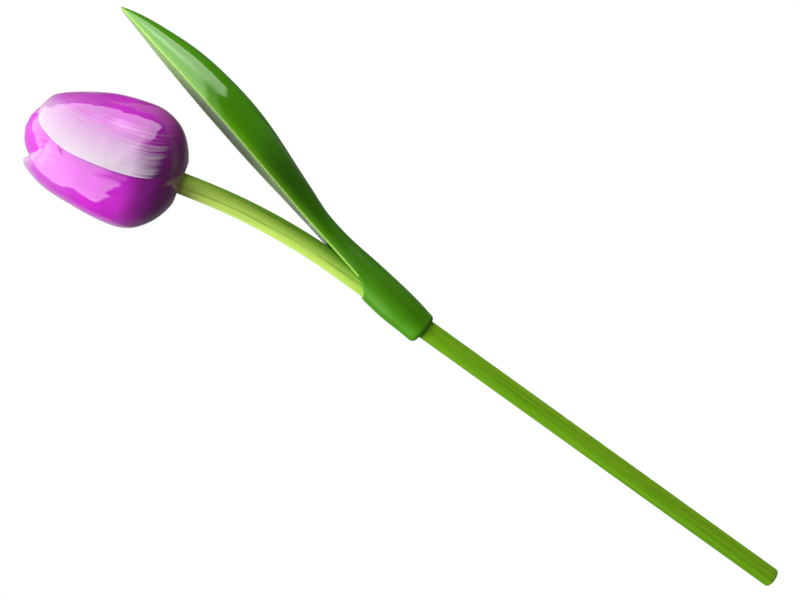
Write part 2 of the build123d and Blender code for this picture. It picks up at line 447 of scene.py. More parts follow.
def make_rod_tree(name):
    """Tree: a round rod swept along the object's curve, with the curve's own radius at each point."""
    n, given, result = node_group("GeometryNodeTree", name, [
        ("Geometry", "Geometry", None), ("Sides", "Int", 56), ("Material", "Material", None)],
        [("Geometry", "Geometry")])
    ring = n.add("GeometryNodeCurvePrimitiveCircle", {"Resolution": given["Sides"], "Radius": 1.0},
                 mode="RADIUS")["Curve"]
    rod = n.add("GeometryNodeCurveToMesh", {
        "Curve": given["Geometry"], "Profile Curve": ring, "Scale": n.add("GeometryNodeInputRadius")[0],
        "Fill Caps": True})[0]
    real = n.add("GeometryNodeRealizeInstances", {"Geometry": rod})[0]
    n.finish_mesh(result, real, given["Material"])
    return n.tree


# Materials. Streaks: width and length in metres, and unevenness. A ramp: from where to where a change goes,
# and the values it goes from and to if they aren't 0 and 1; in metres, but in millimetres on a petal.

FULL_RANGE = (0.0, 1.0)
LACQUER_IOR = 1.6

PETAL_FINE = (0.00045, 0.012, 0.5)
PETAL_WIDE = (0.0030, 0.045, 0.9)
PETAL_CHIPS = (0.0006, 0.006, 0.35)
STROKE_DRYNESS = (0.6, 0.4)            # shares of the fine and the wide streaks in the white stroke
STROKE_RAGGED = (3.0, 2.0)             # millimetres by which the wide and the fine streaks shift its start
STROKE_BEGINS = (11.8, 15.0)           # up the petal
STROKE_STOPS = (26.0, 19.0)            # away from the petal's left edge
COVER_ACROSS = (1.0, 20.0, 1.0, 0.0)
COVER_UP = (12.0, 30.0, 0.27, 1.0)
COVER_LIMIT = (0.52, 1.90)             # how dry a bare stroke may be, and how much the cover adds
COVER_SOFTNESS = (12.0, 30.0, 0.62, 1.0)
BODY_ACROSS = (1.2, 16.5, 1.0, 0.22)
BODY_UP = (11.0, 27.0, 0.95, 1.0)
TIP_RAGGED = 2.0
TIP_WHITE = (1.0, 8.5, 0.78, 0.0)      # away from the petal's tip
TIP_ACROSS = (62.0, 34.0, 0.85, 1.0)
PATCH_TONES = (0.92, 1.08)
PINK_UP = (28.0, 54.0)
PINK_STREAKS, PINK_STREAK_SHARE = (0.68, 0.075, 0.70, 1), 0.12
# Painted shade: how the magenta darkens down towards the bloom's base, and how dark it gets
BASE_PAINTED_SHADE, BASE_SHADE_TONE = (26.0, 4.0, 0.0, 0.62), 0.25
WHITE_STARTS, WHITE_START_TONE = (13.0, 30.0), 1.5
WHITE_DULLS, WHITE_DULL_TONE = (38.0, 54.0, 0.0, 0.5), 0.70
# Painted shade in the creases, where dark glaze pools too: its colour and strength
CREASE_SHADE_COLOUR, CREASE_SHADE_SHARE = (0.16, 0.004, 0.17, 1), 0.75
NICK_COLOUR, NICK_STREAKS, NICK_DULLS_COAT = (0.42, 0.012, 0.40, 1), (0.50, 0.68), 0.85
BLOOM_ROUGHNESS = (0.42, 0.5)          # under the coat: bare lacquer and white paint

LEAF_FINE = (0.0009, 0.030, 0.9)
LEAF_WIDE = (0.0045, 0.060, 0.9)
LEAF_TONES = (0.85, 1.15)
LEAF_STREAK_SHARE = 0.3
# Painted shade: a darker band round the collar and the foot of the blade
COLLAR_SHADE_BEGINS, COLLAR_SHADE_STOPS, COLLAR_SHADE_TONE = (0.168, 0.230, 0.22, 1.0), (0.275, 0.245, 0.0, 0.52), 0.35
# Painted light: a lighter green up the blade, for the tinted reflection there
TIP_PAINTED_LIGHT_UP = (0.248, 0.305, 0.0, 0.90)
# Painted reflection in the hollowed face, growing up the leaf
HOLLOW_SHEEN_UP = (0.225, 0.250, 0.0, 0.6)
# Painted highlight along the near rim
RIM_HIGHLIGHT_SHARE, RIM_HIGHLIGHT_TONE = 0.8, 1.1
# Painted glint on the sharp rims: its colour and strength
RIM_GLINT_COLOUR, RIM_GLINT_SHARE = (0.40, 0.70, 0.10, 1), 0.75
LEAF_ROUGHNESS, HOLLOW_ROUGHNESS = (0.28, 0.36), (0.0, 0.24)
LEAF_GLOSSIER_UP = (0.205, 0.245, 1.0, 0.17)
LEAF_COAT_UP, HOLLOW_COAT = (0.215, 0.325, 0.0, 0.62), (1.0, 0.3)

STEM_FINE = (0.00042, 0.022, 0.9)
STEM_WIDE = (0.0022, 0.060, 0.8)
STEM_THIN_SHARES = (0.40, 0.18)
# Pale paint above the collar, and further towards the bloom painted light against the bloom's shadow
PALE_FROM_COLLAR, PAINTED_LIGHT_TO_BLOOM = (0.178, 0.215, 0.0, 0.46), (0.225, 0.285, 0.0, 0.28)
PALE_AWAY_FROM_LEAF = (-0.0041, 0.0041, 1.38, 0.36)
DARK_STREAKS, DARK_SHARE, DARK_TONE = (0.35, 0.0), 0.62, 0.62
# Painted shade along one side of the stem below the leaf
SHADED_SIDE, SHADED_BELOW = (0.0015, -0.0039, 0.10, 0.42), (0.175, 0.200, 1.0, 0.0)
DOTS, DOT_COLOUR, DOT_SHARE = {"Spacing": 0.0021, "Amount": 0.25}, (0.55, 0.68, 0.32, 1), 0.5
STEM_ROUGHNESS = (0.42, 0.58)

PAPER_TONES = (0.035, 0.035, 0.035, 1), (0.045, 0.045, 0.045, 1)
PAPER_SEEN = 0.955                     # light that the camera sees in the paper, so that it is white
PAPER_MIRRORED = (0.15, 0.45, 0.03, 0.12)


def new_material(name):
    """A material with a Principled shader: the material, its nodes and the shader's inputs."""
    material = bpy.data.materials.new(name)
    material.use_nodes = True
    tree = material.node_tree
    tree.nodes.clear()
    shader = tree.nodes.new("ShaderNodeBsdfPrincipled")
    n = Nodes(tree)
    n.add("ShaderNodeOutputMaterial", {"Surface": shader.outputs[0]})
    return material, n, shader.inputs


def plain(colour_property, factor=1.0):
    """A colour property as a shader colour, made lighter or darker by a factor."""
    return (*[min(c * factor, 1.0) for c in colour_property], 1.0)


def bloom_material():
    """Magenta lacquer, with white paint brushed along the left edge of each petal, and painted shade towards
    the base and in the creases.
    """
    b = bpy.context.scene.tulip_bloom
    material, n, shader = new_material("bloom_lacquer")
    from_edge, up, from_tip = n.parts(n.attribute("on_petal"))
    painted, crease_shade, scratched = n.parts(n.attribute("petal_marks_and_shade"))
    along = n.add("ShaderNodeCombineXYZ", {"X": n.times(from_edge, MM), "Y": 0.0, "Z": n.times(up, MM)})[0]
    fine, _ = n.streaks(along, *PETAL_FINE)
    wide, patches = n.streaks(along, *PETAL_WIDE)

    # The white stroke: dry and ragged where the brush first touches, full along the edge
    dry = n.weighted(fine, wide, *STROKE_DRYNESS)
    begun = n.mapped(n.plus(up, n.weighted(wide, fine, *STROKE_RAGGED)), *STROKE_BEGINS)
    cover = n.times(n.mapped(from_edge, *COVER_ACROSS, smooth=False), n.mapped(up, *COVER_UP))
    threshold = n.minus(COVER_LIMIT[0], n.times(cover, COVER_LIMIT[1]))
    stroke = n.mapped(dry, threshold, n.plus(threshold, n.mapped(up, *COVER_SOFTNESS)))
    body = n.times(n.mapped(from_edge, *BODY_ACROSS, smooth=False), n.mapped(up, *BODY_UP))
    body = n.times(body, n.times(begun, n.mapped(from_edge, *STROKE_STOPS)))
    white = n.times(n.times(stroke, body), painted, clamp=True)
    tip = n.mapped(n.plus(from_tip, n.times(wide, TIP_RAGGED)), *TIP_WHITE)
    tip = n.times(tip, n.mapped(from_edge, *TIP_ACROSS))
    white = n.larger(white, n.times(tip, painted))

    # The lacquer under it, the white paint's own tones, and over both the nicks and the painted shade in the
    # creases, where dark glaze pools too
    deep = n.mixed(patches, *(plain(b.magenta, factor) for factor in PATCH_TONES))
    deep = n.mixed(n.mapped(up, *PINK_UP), deep, plain(b.upper_pink))
    deep = n.mixed(n.times(fine, PINK_STREAK_SHARE), deep, PINK_STREAKS)
    # Painted shade: the magenta darkens towards the bloom's base
    deep = n.mixed(n.mapped(up, *BASE_PAINTED_SHADE), deep, plain(b.magenta, BASE_SHADE_TONE))
    brushed = n.mixed(n.mapped(up, *WHITE_STARTS), plain(b.brushed, WHITE_START_TONE), plain(b.brushed))
    brushed = n.mixed(n.mapped(up, *WHITE_DULLS), brushed, plain(b.brushed, WHITE_DULL_TONE))
    coloured = n.mixed(white, deep, brushed)
    # Painted shade, with some pooled dark glaze, darkens the creases
    coloured = n.mixed(n.times(crease_shade, CREASE_SHADE_SHARE, clamp=True), coloured, CREASE_SHADE_COLOUR)
    chips, _ = n.streaks(along, *PETAL_CHIPS)
    nicks = n.times(n.mapped(chips, *NICK_STREAKS), scratched, clamp=True)
    n.fill(shader, {
        "Base Color": n.mixed(nicks, coloured, NICK_COLOUR),
        "Roughness": n.mapped(white, *FULL_RANGE, *BLOOM_ROUGHNESS),
        "Coat Weight": n.minus(1.0, n.times(nicks, NICK_DULLS_COAT)),
        "Coat Roughness": 0.045, "Coat IOR": LACQUER_IOR, "Specular IOR Level": 0.12,
        "Normal": n.bump(fine, strength=0.25, distance=0.0001)})
    return material


def leaf_material():
    """Green lacquer with soft streaks along the leaf, glossier up the blade and duller in its hollow, with
    painted shade round the collar and painted light up the blade, along its rims and in its hollow.
    """
    leaf = bpy.context.scene.tulip_leaf
    material, n, shader = new_material("leaf_lacquer")
    place = n.place()
    height = n.parts(place)["Z"]
    turned = n.add("ShaderNodeMapping", {"Vector": place, "Rotation": (0, -leaf.face_lean, 0)},
                   vector_type="POINT")[0]
    fine, _ = n.streaks(turned, *LEAF_FINE)
    wide, patches = n.streaks(turned, *LEAF_WIDE)
    rim_highlight, rim_glint, hollow = n.parts(n.attribute("leaf_highlight_masks"))
    tone = n.mixed(wide, *(plain(leaf.green, factor) for factor in LEAF_TONES))
    tone = n.mixed(n.times(fine, LEAF_STREAK_SHARE), tone, plain(leaf.light))
    # Painted shade round the collar and the foot of the blade
    collar_shade = n.times(n.mapped(height, *COLLAR_SHADE_BEGINS), n.mapped(height, *COLLAR_SHADE_STOPS))
    tone = n.mixed(collar_shade, tone, plain(leaf.green, COLLAR_SHADE_TONE))
    # Painted light up the blade
    tone = n.mixed(n.mapped(height, *TIP_PAINTED_LIGHT_UP), tone, plain(leaf.tip))
    # Painted reflection in the hollowed face
    tone = n.mixed(n.times(hollow, n.mapped(height, *HOLLOW_SHEEN_UP)), tone, plain(leaf.hollow))
    # Painted highlight along the near rim
    tone = n.mixed(n.times(rim_highlight, RIM_HIGHLIGHT_SHARE, clamp=True), tone, plain(leaf.light, RIM_HIGHLIGHT_TONE))
    # Painted glint on the sharp rims
    tone = n.mixed(n.times(rim_glint, RIM_GLINT_SHARE, clamp=True), tone, RIM_GLINT_COLOUR)
    rough = n.times(n.mapped(patches, *FULL_RANGE, *LEAF_ROUGHNESS), n.mapped(height, *LEAF_GLOSSIER_UP))
    n.fill(shader, {
        "Base Color": tone,
        "Roughness": n.larger(rough, n.mapped(hollow, *FULL_RANGE, *HOLLOW_ROUGHNESS)),
        "Coat Weight": n.times(n.mapped(height, *LEAF_COAT_UP), n.mapped(hollow, *FULL_RANGE, *HOLLOW_COAT)),
        "Coat Roughness": 0.05, "Coat IOR": LACQUER_IOR, "Specular IOR Level": 0.42,
        "Specular Tint": plain(leaf.mirrored), "Normal": n.bump(fine, strength=0.2, distance=0.0001)})
    return material


def stem_material():
    """Satin green paint over turned wood, thinner and paler above the leaf, with painted light towards the
    bloom and painted shade along one side below the leaf.
    """
    stem = bpy.context.scene.tulip_stem
    material, n, shader = new_material("stem_paint")
    place = n.attribute("along_stem")
    out, _, height = n.parts(place)
    fine, _ = n.streaks(place, *STEM_FINE)
    wide, _ = n.streaks(place, *STEM_WIDE)
    group = shared_group("paint_dots", make_fine_dots)
    dots = n.add("ShaderNodeGroup", {"Vector": place, **DOTS}, node_tree=group)[0]
    tone = n.mixed(n.weighted(fine, wide, *STEM_THIN_SHARES), plain(stem.green), plain(stem.streak))
    # Pale paint above the leaf, with painted light towards the bloom
    upper = n.plus(n.mapped(height, *PALE_FROM_COLLAR), n.mapped(height, *PAINTED_LIGHT_TO_BLOOM))
    pale = n.times(upper, n.mapped(out, *PALE_AWAY_FROM_LEAF, smooth=False), clamp=True)
    tone = n.mixed(pale, tone, plain(stem.pale))
    dark = n.times(n.mapped(fine, *DARK_STREAKS), DARK_SHARE)
    # Painted shade along one side below the leaf
    side = n.times(n.mapped(out, *SHADED_SIDE), n.mapped(height, *SHADED_BELOW))
    tone = n.mixed(n.larger(dark, side), tone, plain(stem.green, DARK_TONE))
    n.fill(shader, {
        "Base Color": n.mixed(n.times(dots, DOT_SHARE), tone, DOT_COLOUR),
        "Roughness": n.mapped(fine, *FULL_RANGE, *STEM_ROUGHNESS), "Specular IOR Level": 0.15,
        "Normal": n.bump(fine, strength=0.35, distance=0.00012)})
    return material


def floor_material():
    """Plain pale paper: white in the picture, with the object's faint shadow on it."""
    material, n, shader = new_material("pale_floor")
    place = n.place()
    seen, glossy = n.rays()
    mirrored = n.times(glossy, n.mapped(n.parts(place)["Y"], *PAPER_MIRRORED))
    light = n.plus(n.times(seen, PAPER_SEEN), mirrored)
    n.fill(shader, {
        "Base Color": n.mixed(n.noise(place, scale=40.0, detail=3.0), *PAPER_TONES),
        "Roughness": 0.9, "Specular IOR Level": 0.1, "Emission Strength": 1.0,
        "Emission Color": n.add("ShaderNodeCombineColor", {"Red": light, "Green": light, "Blue": light})[0]})
    return material


# The bloom's shapes, in millimetres, upright on its own base. A petal is drawn flat, for a bloom of three:
# degrees round the bloom from the way it faces, and height.

DRAWN_PETALS = 3
PETAL_WIDTH = 360 / DRAWN_PETALS
LEFT_EDGE = [(-20, 1.2), (-27, 3.0), (-38, 5.6), (-46.5, 7.6), (-52.2, 9.6), (-55.8, 12.5), (-58.6, 17.5),
             (-60.3, 23), (-61.2, 29), (-61.6, 36.8), (-60.6, 44), (-58.3, 47.4), (-54.4, 50.8),
             (-49.9, 53.4), (-44, 55.7)]
TIP_EDGE = [(-44, 55.7), (-38.3, 56.8), (-30, 57.5), (-19, 57.7), (-8, 57.6), (2, 57.2), (12, 56.7),
            (22, 56.0), (31.8, 54.8)]
FREE_RIGHT_EDGE = [(58.0, 51.0), (49.2, 51.8), (41.6, 53.3), (31.8, 54.8)]
MEETING = 0.855                # share of the way up at which the right edge comes free of the next petal
MEETING_ROW = 119
EDGE_FREES = (MEETING - 0.14, MEETING + 0.02)
FREE_EDGE_ROUNDS = (MEETING, MEETING + 0.07)
# Where the painted shade in the crease fades out towards the meeting point
CREASE_SHADE_STOPS = (MEETING - 0.05, MEETING - 0.2)
NICKS_STOP = (MEETING + 0.01, MEETING - 0.02)

# Columns and rows of a petal's grid: they crowd together where its edges are rounded
COLUMNS = np.concatenate([[0, 0.0016, 0.004, 0.008, 0.014, 0.022, 0.034], np.linspace(0.05, 0.95, 84),
                          [0.962, 0.974, 0.984, 0.992, 0.997, 1]])
ROWS = np.concatenate([np.linspace(0, MEETING, MEETING_ROW + 1), np.linspace(MEETING, 0.97, 34)[1:],
                       [0.978, 0.985, 0.991, 0.9955, 0.9985, 1]])

PETALS_PART = (7.0, 13.0)      # heights between which the petals part from the smooth base
EDGE_SLOPE = 0.9               # share of the petal's step that it falls from its left to its right edge
EDGE_SWELL = (0.16, 2.6)       # height and width of the swelling along the left edge
VALLEY = (0.42, 2.4)           # depth and width of the valley at the foot of the next petal
FREE_EDGE_LIFT = 0.25          # share of the petal's step by which the free right edge is lifted
SHOULDER, SHOULDER_UP, SHOULDER_AT, SHOULDER_WIDTH = 1.1, (34, 50), -20, 30
HOLLOW, HOLLOW_RISES, HOLLOW_LEFT, HOLLOW_RIGHT = 0.85, (32, 50), (8, 36), (62, 44)
TIP_DROP = (0.7, 1.6)          # depth and width of the slope down to the tip's edge
PETAL_WAVES, BUD_WAVES = 0.09, 0.07
WAVES_FADE = 5                 # distance from the edges over which the waves fade
# Width of the painted shade along the foot of the next petal
CREASE_SHADE_WIDTH = 0.8
NICKS_UP, NICKS_AT, NICKS_WIDTH = (43, 46), 1.7, 1.0
TUCK_DOWN, TUCK_IN = 1.5, 4.5  # how far below and inside an edge its hidden rim ends
LID_HEIGHT = 42.0
HOLE_DEPTH, HOLE_END = 14.0, 15.5
# How much white paint the wall under an edge takes, and how much painted shade from its crease; its upper half
# takes less shade
WALL_PAINT, WALL_SHADE, UPPER_WALL_SHADE = 0.6, 0.7, 0.3
INNER_RIM = (3, 57, 0), (0.5, 0, 0)    # place on the petal and marks, for the paint
BARE = (20, 0, 0), (0, 0, 0)


def bloom_skin(azimuth, height, lift):
    """Points of the bloom's egg-shaped skin, lifted along its normal; angles in radians, sizes in mm."""
    b = bpy.context.scene.tulip_bloom
    radius, widest, rise = b.radius / MM, b.widest_height / MM, b.skin_rise / MM
    tall = np.where(height < widest, widest, rise)
    share = np.clip((height - widest) / tall, -1, 1)
    r = radius * np.sqrt(np.maximum(1 - share**2, 0))
    normal_r, normal_z = r / radius**2, (height - widest) / tall**2
    size = np.hypot(normal_r, normal_z)
    normal_r, normal_z = normal_r / size, normal_z / size
    out = r + lift * normal_r
    return np.stack([out * np.cos(azimuth), out * np.sin(azimuth), height + lift * normal_z], axis=-1)


def drawn_skin(drawn, lift):
    """Points of the bloom's skin from a petal's flat drawing."""
    spread = DRAWN_PETALS / bpy.context.scene.tulip_bloom.petal_count
    return bloom_skin(np.radians(drawn[..., 0] * spread), drawn[..., 1], lift)


def tucked(drawn):
    """Where the hidden rim of an edge ends, below and inside it."""
    return drawn_skin(drawn - (0, TUCK_DOWN), np.full(len(drawn), -TUCK_IN))


def near_edge(distance, rounding):
    """The profile of a rounded edge: 0 at the free edge, and 1 from the rounding's width inwards."""
    inside = np.clip(distance / rounding, 0, 1)
    return np.sqrt(np.maximum(1 - (1 - inside)**2, 0))


def drawn_petal():
    """A petal's flat drawing: its left edge, its seat round the stem, and its grid of points."""
    left = through_points(LEFT_EDGE, ROWS)
    right = left + (PETAL_WIDTH, 0)
    free = ROWS > MEETING
    right[free] = through_points([tuple(right[MEETING_ROW])] + FREE_RIGHT_EDGE,
                                 (ROWS[free] - MEETING) / (1 - MEETING))
    top = through_points(TIP_EDGE, COLUMNS)
    seat = np.stack([left[0, 0] + PETAL_WIDTH * COLUMNS, np.full(len(COLUMNS), left[0, 1])], axis=-1)
    u, v = COLUMNS[None, :, None], ROWS[:, None, None]
    corners = (1 - u) * (1 - v) * left[0] + u * (1 - v) * right[0] + (1 - u) * v * left[-1] + u * v * right[-1]
    grid = ((1 - u) * left[:, None, :] + u * right[:, None, :] + (1 - v) * seat[None, :, :]
            + v * top[None, :, :] - corners)
    return left, seat, grid


def petal_mesh():
    """One outer petal with its wall over the neighbour, its inner rim and its share of the seat."""
    b = bpy.context.scene.tulip_bloom
    step, rounding = b.petal_step / MM, b.rim_rounding / MM
    left, seat, grid = drawn_petal()
    rows, columns = grid.shape[:2]
    u, v = COLUMNS[None, :], ROWS[:, None]
    turned, height = grid[..., 0], grid[..., 1]
    bare = drawn_skin(grid, 0.0)
    from_left = np.linalg.norm(bare - bare[:, :1], axis=-1)
    from_right = np.linalg.norm(bare - bare[:, -1:], axis=-1)
    from_top = np.linalg.norm(bare - bare[-1:], axis=-1)

    # The carving: how far the petal stands out from the egg
    shown = smooth_step(*PETALS_PART, height)
    beyond = smooth_step(*EDGE_FREES, v)
    lift = step * shown * (0.5 - u) * EDGE_SLOPE
    lift += EDGE_SWELL[0] * shown * hump(from_left, EDGE_SWELL[1])
    lift -= VALLEY[0] * shown * hump(from_right, VALLEY[1]) * (1 - beyond)
    lift += beyond * FREE_EDGE_LIFT * step * u
    lift += SHOULDER * smooth_step(*SHOULDER_UP, height) * hump(turned - SHOULDER_AT, SHOULDER_WIDTH)
    lift -= HOLLOW * smooth_step(*HOLLOW_RISES, height) * smooth_step(*HOLLOW_LEFT, turned) * (
        smooth_step(*HOLLOW_RIGHT, turned))
    lift -= TIP_DROP[0] * shown * hump(from_top, TIP_DROP[1])
    lift += PETAL_WAVES * hand_waves(*np.moveaxis(bare, -1, 0)) * shown * (
        smooth_step(0, WAVES_FADE, from_left)) * smooth_step(0, WAVES_FADE, from_right)
    rim = near_edge(from_left, rounding) * near_edge(from_top, rounding)
    rim = rim * (1 - smooth_step(*FREE_EDGE_ROUNDS, v) * (1 - near_edge(from_right, rounding)))
    neighbour = lift[:, -1].copy()
    lift -= rounding * shown * (1 - rim)
    skin = drawn_skin(grid, lift)

    # What the paint follows: places on the petal, and where it is painted, where shade is painted in its
    # creases, and where it is scratched
    crease_shade_mask = shown * hump(from_right, CREASE_SHADE_WIDTH) * smooth_step(*CREASE_SHADE_STOPS, v)
    scratched = smooth_step(*NICKS_UP, height) * smooth_step(*NICKS_STOP, v) * (
        hump(from_right - NICKS_AT, NICKS_WIDTH))
    vertices = [skin.reshape(-1, 3)]
    on_petal = [np.stack([from_left, height, from_top], axis=-1).reshape(-1, 3)]
    petal_marks_and_shade = [np.stack([shown, crease_shade_mask, scratched], axis=-1).reshape(-1, 3)]
    faces = grid_faces(rows, columns)

    def more(points, place, mark):
        """Adds points with their place and marks, and returns the number of the first."""
        first = sum(len(p) for p in vertices)
        vertices.append(np.asarray(points, float).reshape(-1, 3))
        count = len(vertices[-1])
        on_petal.append(np.broadcast_to(place, (count, 3)))
        petal_marks_and_shade.append(np.broadcast_to(mark, (count, 3)))
        return first

    # The wall under the left edge: down to the neighbour below the meeting point, into the bud above it
    foot = drawn_skin(left, neighbour)
    foot[MEETING_ROW + 1:] = tucked(left)[MEETING_ROW + 1:]
    none, wall = np.zeros(rows), smooth_step(*PETALS_PART, left[:, 1])
    places = np.stack([none, left[:, 1], none], axis=-1)
    # The wall's marks: part of the white paint, and painted shade from the crease at its foot
    dark = np.stack([WALL_PAINT * wall, WALL_SHADE * wall, none], axis=-1)
    middle_first = more(0.5 * (skin[:, 0] + foot), places, dark * (1, UPPER_WALL_SHADE, 1))
    foot_first = more(foot, places, dark)
    for i in range(rows - 1):
        mid, low = middle_first + i, foot_first + i
        faces.append((i * columns, (i + 1) * columns, mid + 1, mid))
        faces.append((mid, mid + 1, low + 1, low))

    # The inner rim along the tip and the free part of the right edge
    rim_ids = [(rows - 1) * columns + j for j in range(columns)]
    rim_ids += [i * columns + columns - 1 for i in range(rows - 2, MEETING_ROW, -1)]
    inner = tucked(np.concatenate([grid[-1], grid[rows - 2:MEETING_ROW:-1, -1]]))
    inner_first = more(inner, *INNER_RIM)
    inner_ids = list(range(inner_first, inner_first + len(rim_ids)))
    faces.append((rim_ids[0], inner_first, foot_first + rows - 1, middle_first + rows - 1))
    for k in range(len(rim_ids) - 1):
        faces.append((rim_ids[k], rim_ids[k + 1], inner_ids[k + 1], inner_ids[k]))
    meeting_id = MEETING_ROW * columns + columns - 1
    faces.append((rim_ids[-1], meeting_id, inner_ids[-1]))

    # A lid inside the bud closes the petals' ring
    centre = more((0, 0, LID_HEIGHT), (0, LID_HEIGHT, 0), (0, 0, 0))
    loop = [foot_first + i for i in range(MEETING_ROW, rows)] + inner_ids + [meeting_id]
    faces += [(a, c, centre) for a, c in zip(loop, loop[1:])]

    # The seat round the stem, the hole and its closed end
    angles = np.radians(seat[:, 0] * (DRAWN_PETALS / b.petal_count))
    circle = b.hole_radius / MM * np.stack([np.cos(angles), np.sin(angles)], axis=-1)
    mouth = more(np.insert(circle, 2, left[0, 1], axis=1), *BARE)
    bottom = more(np.insert(circle, 2, HOLE_DEPTH, axis=1), *BARE)
    end = more((0, 0, HOLE_END), *BARE)
    for j in range(columns - 1):
        faces.append((j + 1, j, mouth + j, mouth + j + 1))
        faces.append((mouth + j + 1, mouth + j, bottom + j, bottom + j + 1))
        faces.append((bottom + j + 1, bottom + j, end))
    return to_object("petal", np.concatenate(vertices), faces,
                     {"on_petal": np.concatenate(on_petal), "petal_marks_and_shade": np.concatenate(petal_marks_and_shade)})


# A lobe of the bud: angles in radians from its middle (across) and from its top (down), sizes in mm
SIDE_CROWDING = 1.8            # how much the columns crowd towards the grooves
GROOVE = (0.55, 1.1)           # depth and width of the grooves between the lobes
GROOVE_SHADE = (0.85, 0.55)   # strength and width of the painted shade in them, where dark glaze pools too
PILLOW, PILLOW_WIDTH, PILLOW_AT, PILLOW_LENGTH = 0.95, 0.42, 0.80, 0.34
SCRATCH, SCRATCH_AT, SCRATCH_LENGTH, SCRATCH_ACROSS = 0.8, 0.95, 0.13, (0.7, 0.2)
BUD_WAVES_FADE, WAVES_SHIFT = 4, 9
BUD_PLACE_ACROSS, BUD_PLACE_DOWN = 30, 14   # where on a petal's paint the bud's paint is taken from


def bud_lobe_mesh():
    """One lobe of the closed bud: its share of a rounded top, with a groove to each neighbour."""
    b = bpy.context.scene.tulip_bloom
    radius, rise, floor, lean = b.bud_radius / MM, b.bud_rise / MM, b.bud_floor / MM, b.bud_lean
    half = math.pi / b.petal_count
    side = 1 - (1 - np.linspace(0, 1, 34))**SIDE_CROWDING
    both_sides = np.concatenate([-side[::-1], side[1:]])
    across, down = np.meshgrid(half * both_sides, np.linspace(0, math.pi / 2, 64)[1:])
    x, y, z = np.sin(down) * np.cos(across), np.sin(down) * np.sin(across), np.cos(down)
    leant_x, leant_z = x * math.cos(lean) - z * math.sin(lean), x * math.sin(lean) + z * math.cos(lean)
    reach = 1 / np.sqrt((leant_x / radius)**2 + (y / radius)**2 + (leant_z / rise)**2)
    top = 1 / math.sqrt((math.sin(lean) / radius)**2 + (math.cos(lean) / rise)**2)
    from_groove = reach * np.sin(down) * np.sin(half - np.abs(across))
    reach = reach - GROOVE[0] * hump(from_groove, GROOVE[1]) + PILLOW * np.exp(
        -(across / PILLOW_WIDTH)**2 - ((down - PILLOW_AT) / PILLOW_LENGTH)**2)
    outwards = np.stack([x, y, z], axis=-1)
    points = outwards * reach[..., None]
    waves = hand_waves(points[..., 0] + WAVES_SHIFT, points[..., 1], points[..., 2])
    points += outwards * (BUD_WAVES * waves * smooth_step(0, BUD_WAVES_FADE, from_groove))[..., None]
    points[..., 2] += floor
    rows, columns = points.shape[:2]
    vertices = np.concatenate([points.reshape(-1, 3), [[0, 0, floor + top - GROOVE[0]], [0, 0, floor]]])
    pole, base, last = rows * columns, rows * columns + 1, (rows - 1) * columns
    faces = grid_faces(rows, columns, flip=True)
    faces += [(pole, j, j + 1) for j in range(columns - 1)]
    faces += [(base, last + j + 1, last + j) for j in range(columns - 1)]
    place, marks = np.zeros((2, len(vertices), 3))
    place[:, 0], place[:, 1] = BUD_PLACE_ACROSS, vertices[:, 2] - BUD_PLACE_DOWN
    place[:-2, 0] += (reach * np.sin(down) * across).ravel()
    # Painted shade in the grooves between the lobes
    marks[:-2, 1] = GROOVE_SHADE[0] * hump(from_groove, GROOVE_SHADE[1]).ravel()
    marks[:-2, 2] = (SCRATCH * hump(down - SCRATCH_AT, SCRATCH_LENGTH)
                     * smooth_step(*SCRATCH_ACROSS, np.abs(across))).ravel()
    return to_object("bud_lobe", vertices, faces, {"on_petal": place, "petal_marks_and_shade": marks})


# The stem's and the leaf's shapes, in metres

END_RINGS = [0, 0.12, 0.3, 0.55, 1]        # shares of the end's rounding
STRAIGHT_STEP, BENT_STEP = 0.002, 0.0015   # between the rings of the rod
TENON_GAP = 0.0005                         # between the tenon and the end of its hole
SAME_POINT = 0.000002                      # points nearer than this are merged
RIM_ANGLE = 38                             # degrees from which an edge of the leaf is a rim
RIM_CLEARANCE = 0.0004                     # from the bore, whose edges are no rims
FACING_BACK = -0.1                         # a rim has a face that looks this much to the hollow's side
SMOOTHING, SANDING, POLISHING = 0.5, 8, 24     # strength, and rounds over the whole leaf and away from rims
POLISHED_FROM_RIM, POLISHED_UP = (0.0005, 0.0012), (0.225, 0.240)
BORE_BAND, BORE_TOP = 0.00025, 0.004
# Painted highlight along the near rim: its depth, the way its faces look, and where it starts
RIM_HIGHLIGHT_DEPTH, RIM_HIGHLIGHT_FACING, RIM_HIGHLIGHT_ALONG = 0.0022, (-0.3, 0.1), (-0.02, 0.01)
# Painted glint: how near the sharp rims it lies; then how far a face must look into the hollow to count as the
# hollow
RIM_GLINT_REACH, HOLLOW_FACING = (0.00095, 0.0004), (0.3, 0.8)


def rim_points(work, leaf):
    """Points along the carved leaf's outer sharp rims above its mouth's lower end, for a search by distance."""
    found = []
    back = Vector((math.cos(leaf.face_lean), 0, -math.sin(leaf.face_lean)))
    for edge in work.edges:
        if len(edge.link_faces) < 2 or edge.calc_face_angle(0) < math.radians(RIM_ANGLE):
            continue
        if min(face.normal.dot(back) for face in edge.link_faces) > FACING_BACK:
            continue
        a, b = (vertex.co for vertex in edge.verts)
        middle = (a + b) / 2
        if middle.z < leaf.mouth_start or math.hypot(middle.x, middle.y) < leaf.bore_radius + RIM_CLEARANCE:
            continue
        count = max(2, math.ceil((b - a).length / leaf.grain))
        found += [a.lerp(b, i / count) for i in range(count + 1)]
    tree = KDTree(len(found))
    for i, point in enumerate(found):
        tree.insert(point, i)
    tree.balance()
    return tree


def smoothed(obj, name, iterations, group=""):
    """The object with its mesh smoothed, where a vertex group says if one is named."""
    modifier = obj.modifiers.new("sanded", "SMOOTH")
    modifier.factor = SMOOTHING
    modifier.iterations = iterations
    modifier.vertex_group = group
    return baked(obj, name)


# Operators: one for each piece, and one for the stage

